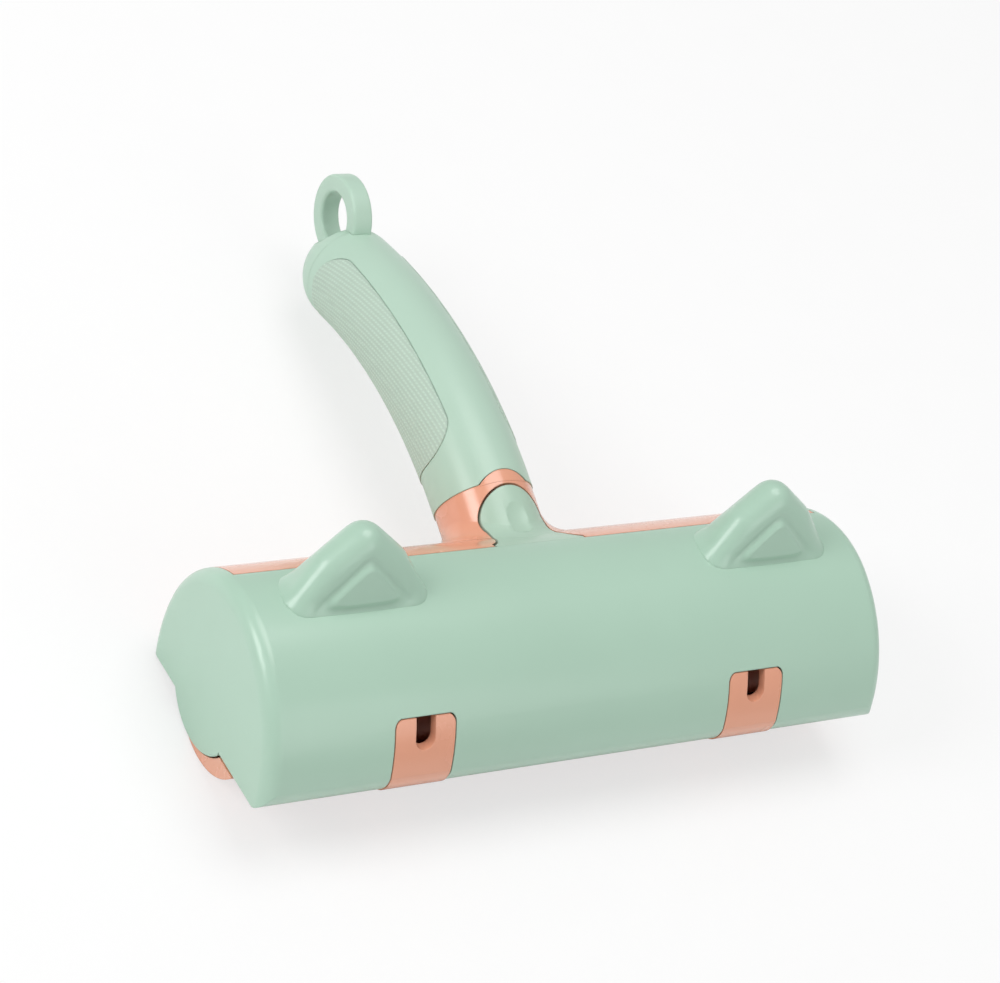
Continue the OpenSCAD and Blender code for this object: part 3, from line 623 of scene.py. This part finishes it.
def strip_backing(name, x0, x1, a0, a1):
    bm = bmesh.new()
    inner, outer = [], []
    for k in range(ACROSS + 1):
        a = a0 + (a1 - a0) * k / ACROSS
        for row, radius in ((inner, DRUM_R + GLUE), (outer, DRUM_R + BACKING)):
            row.append([bm.verts.new(on_drum(x, a, radius)) for x in (x0, x1)])
    for k in range(ACROSS):
        for row in (inner, outer):
            bm.faces.new([row[k][0], row[k][1], row[k + 1][1], row[k + 1][0]])
        for e in (0, 1):
            bm.faces.new([inner[k][e], inner[k + 1][e], outer[k + 1][e], outer[k][e]])
    for k in (0, ACROSS):
        bm.faces.new([inner[k][0], outer[k][0], outer[k][1], inner[k][1]])
    bmesh.ops.recalc_face_normals(bm, faces=bm.faces)
    return new_piece(name, bm)


print("backing", BACKING, "mm thick")

# %% [markdown]
# The nap could be a hair system, but only meshes go into the exported model. So it is some
# thousand slim cones, each with three feet and a tip. All lean one way with a little
# disorder in place, height and lean, and none leaves the strip. The random numbers come
# from a seed, so that every run gives the same nap.

# %% Nap
STEP, FIBRE_R, ROOT = 0.85, 0.3, 0.1
FEET = (0.5, 2.6, 4.7)
ASTRAY, LEAN_ASTRAY, TIP_ASTRAY = 0.35, 0.12, 0.1
SHORTEST, TALLEST = 0.72, 0.98


def strip_nap(name, x0, x1, a0, a1, lean):
    """Slim three-sided cones, leaning by lean mm at their tips."""
    bm = bmesh.new()
    rows = int((a1 - a0) * DRUM_R / STEP)
    columns = int((x1 - x0) / STEP)
    for i in range(rows):
        for k in range(columns):
            a = a0 + (a1 - a0) * (i + 0.5 + random.uniform(-ASTRAY, ASTRAY)) / rows
            x = x0 + (x1 - x0) * (k + 0.5 + random.uniform(-ASTRAY, ASTRAY)) / columns
            tall = (PILE_H - BACKING) * random.uniform(SHORTEST, TALLEST)
            bend = (lean + random.uniform(-LEAN_ASTRAY, LEAN_ASTRAY)) / DRUM_R
            bend = min(max(a + bend, a0), a1) - a
            tip_x = x + random.uniform(-TIP_ASTRAY, TIP_ASTRAY)
            top = bm.verts.new(on_drum(tip_x, a + bend, DRUM_R + BACKING + tall))
            foot = [bm.verts.new(on_drum(x + FIBRE_R * math.cos(t),
                                         a + FIBRE_R * math.sin(t) / DRUM_R,
                                         DRUM_R + BACKING - ROOT)) for t in FEET]
            for n in range(3):
                bm.faces.new([foot[n], foot[(n + 1) % 3], top])
            bm.faces.new(foot[::-1])
    return new_piece(name, bm)


print("a fibre every", STEP, "mm")

# %% [markdown]
# Both strips are as long as their solids, which the frame can tell, less a fifth of a
# millimetre at each end. One lies before the lowest line of the drum and one behind it.

# %% Both strips
DOWN = math.radians(270)
STRIP_FROM, STRIP_TO = math.radians(4), math.radians(68)
LEAN, END_ROOM = 0.55, 0.2

random.seed(11)
low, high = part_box("velvet_front")
strip_x = (low.x * 1000 + END_ROOM, high.x * 1000 - END_ROOM)
for side, word in ((-1, "front"), (1, "rear")):
    span = sorted((DOWN + side * STRIP_FROM, DOWN + side * STRIP_TO))
    backing = strip_backing(f"strip_backing_{word}", *strip_x, *span)
    nap = strip_nap(f"strip_nap_{word}", *strip_x, *span, side * LEAN)
    for piece, finish in ((backing, backing_cloth), (nap, coral_pile)):
        piece.data.materials.append(finish)
        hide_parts(f"velvet_{word}")
        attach(piece, "roller")
    print(nap.name, len(nap.data.polygons), "faces")

# %% [markdown]
# ## Floor, light and camera
# The photograph has a white ground. More light would make it white, but it would bleach the
# mint too. So the floor itself is pale, and to the camera alone it also glows a little. The
# light that it throws back on the brush, and the shadow on it, stay those of a plain floor.

# %% Floor
CAMERA_GLOW, FLOOR_HALF = 0.65, 3.0


def floor_finish():
    finish = Finish("pale_floor")
    speck = finish.noise(60.0, 3.0)
    finish.set(Base_Color=finish.mix(speck, paint(247, 247, 247), paint(251, 251, 251)))
    finish.set(Roughness=0.75)
    seen = finish.add("LightPath").outputs["Is Camera Ray"]
    glow = finish.add("Emission", Color=(1, 1, 1, 1), Strength=1.0)
    blend = finish.add("MixShader", i0=finish.math("MULTIPLY", seen, CAMERA_GLOW),
                       i1=finish.shader.outputs[0], i2=glow.outputs[0])
    finish.wire(blend.outputs[0], finish.nodes["Material Output"].inputs["Surface"])
    return finish.material


bm = bmesh.new()
bmesh.ops.create_grid(bm, x_segments=8, y_segments=8, size=FLOOR_HALF)
floor = new_piece("floor", bm)
floor.data.materials.append(floor_finish())
print("floor", round(floor.dimensions.x, 1), "m wide")

# %% [markdown]
# The room round the brush is one pale colour. It is a full white to the camera, which the
# background asks for, and less than half of that to the brush, so that the lamps shape it.

# %% World
ROOM, BACKGROUND = 0.45, 1.0
world = bpy.data.worlds.new("soft_room")
bpy.context.scene.world = world
world.use_nodes = True
nodes, links = world.node_tree.nodes, world.node_tree.links
sky = nodes["Background"]
sky.inputs["Color"].default_value = (1, 1, 1, 1)
level = nodes.new("ShaderNodeMapRange")
level.inputs["To Min"].default_value = ROOM
level.inputs["To Max"].default_value = BACKGROUND
links.new(nodes.new("ShaderNodeLightPath").outputs["Is Camera Ray"], level.inputs["Value"])
links.new(level.outputs["Result"], sky.inputs["Strength"])
print("room at", ROOM, "and background at", BACKGROUND)

# %% [markdown]
# The photograph's light is very soft, and comes mostly from above and from the left. Small
# lamps would give hard shadows, so each lamp is a disk more than half a metre across. Each
# is aimed at the brush, and its power is in watts.

# %% Lamps
AIM = Vector((0, -0.03, 0.03))


def lamp(name, at, size, power):
    light = bpy.data.lights.new(name, "AREA")
    light.shape, light.size, light.energy = "DISK", size, power
    holder = bpy.data.objects.new(name, light)
    holder.location = at
    holder.rotation_euler = (AIM - Vector(at)).to_track_quat("-Z", "Y").to_euler()
    bpy.context.scene.collection.objects.link(holder)
    print(name, "at", at, power, "W")


lamp("window_left", (-1.0, 0.12, 0.72), 0.6, 5.2)
lamp("ceiling", (0.1, 0.2, 1.3), 0.9, 6.4)
lamp("front_fill", (0.4, -1.2, 0.8), 0.9, 2.4)

# %% [markdown]
# The camera stands where the photograph's perspective says: about 0.8 m away, to the left
# and above, with a long lens. Aiming it at a point would fix two angles and leave it
# upright, but the photograph is turned about its own axis too. So the three angles are
# given as a photographer sets them: the heading, the tilt and then the roll.

# %% Camera
CAMERA_AT = (-0.421977, -0.418977, 0.592751)
HEADING, TILT, ROLL = -46.7997, 46.2124, 30.9202
lens = bpy.data.cameras.new("photo_camera")
lens.lens, lens.sensor_width = 108.0, 36.0
lens.clip_start, lens.clip_end = 0.05, 20.0
camera = bpy.data.objects.new("photo_camera", lens)
camera.matrix_world = (Matrix.Translation(CAMERA_AT)
                       @ Matrix.Rotation(math.radians(HEADING), 4, "Z")
                       @ Matrix.Rotation(math.radians(TILT), 4, "X")
                       @ Matrix.Rotation(math.radians(ROLL), 4, "Z"))
bpy.context.scene.collection.objects.link(camera)
bpy.context.scene.camera = camera
print("camera at", [round(v, 3) for v in camera.matrix_world.translation])

# %% [markdown]
# ## Settings and end
# The Standard view shows a colour as it was written, where a film-like view would bend it.

# %% Settings and end
bpy.context.scene.view_settings.view_transform = "Standard"
